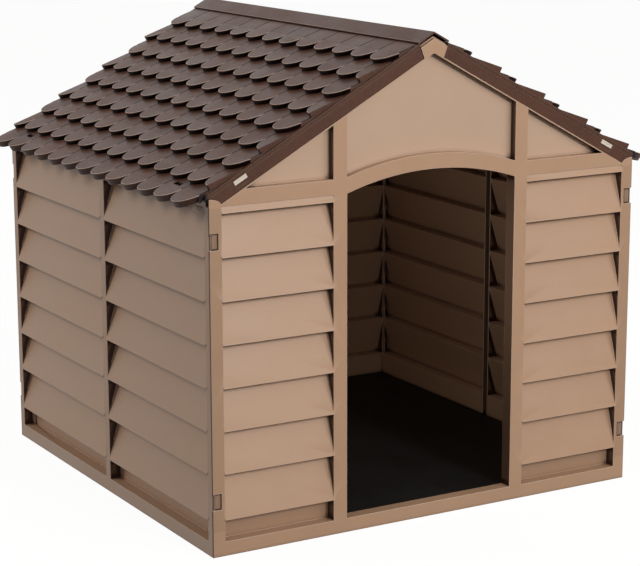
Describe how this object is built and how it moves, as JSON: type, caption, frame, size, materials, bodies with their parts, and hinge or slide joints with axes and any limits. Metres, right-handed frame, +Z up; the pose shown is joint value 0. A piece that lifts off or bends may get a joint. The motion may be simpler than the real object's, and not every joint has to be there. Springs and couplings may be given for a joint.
{
  "type": "dog house",
  "caption": "Gable-roofed plastic dog house: louvred walls, arched open doorway, scalloped tile roof in two halves, ridge cap, floor tray and roof latches.",
  "frame": {"origin": "on the ground under the middle of the house", "axes": "+X to the right as someone looks at the doorway, +Y from the doorway towards the back, +Z up"},
  "size_m": [0.8888, 0.7834, 0.7979],
  "materials": {
    "wall_plastic": "satin",
    "roof_plastic": "satin",
    "floor_plastic": "matte",
    "latch_plastic": "satin"
  },
  "bodies": {
    "root": {"front_wall": "wall_plastic", "rear_wall": "wall_plastic", "left_wall": "wall_plastic", "right_wall": "wall_plastic", "roof_left": "roof_plastic", "roof_right": "roof_plastic", "ridge_cap": "roof_plastic", "floor_panel": "floor_plastic", "latch_front_left": "latch_plastic", "latch_front_right": "latch_plastic", "latch_rear_left": "latch_plastic", "latch_rear_right": "latch_plastic"}
  },
  "joints": []
}
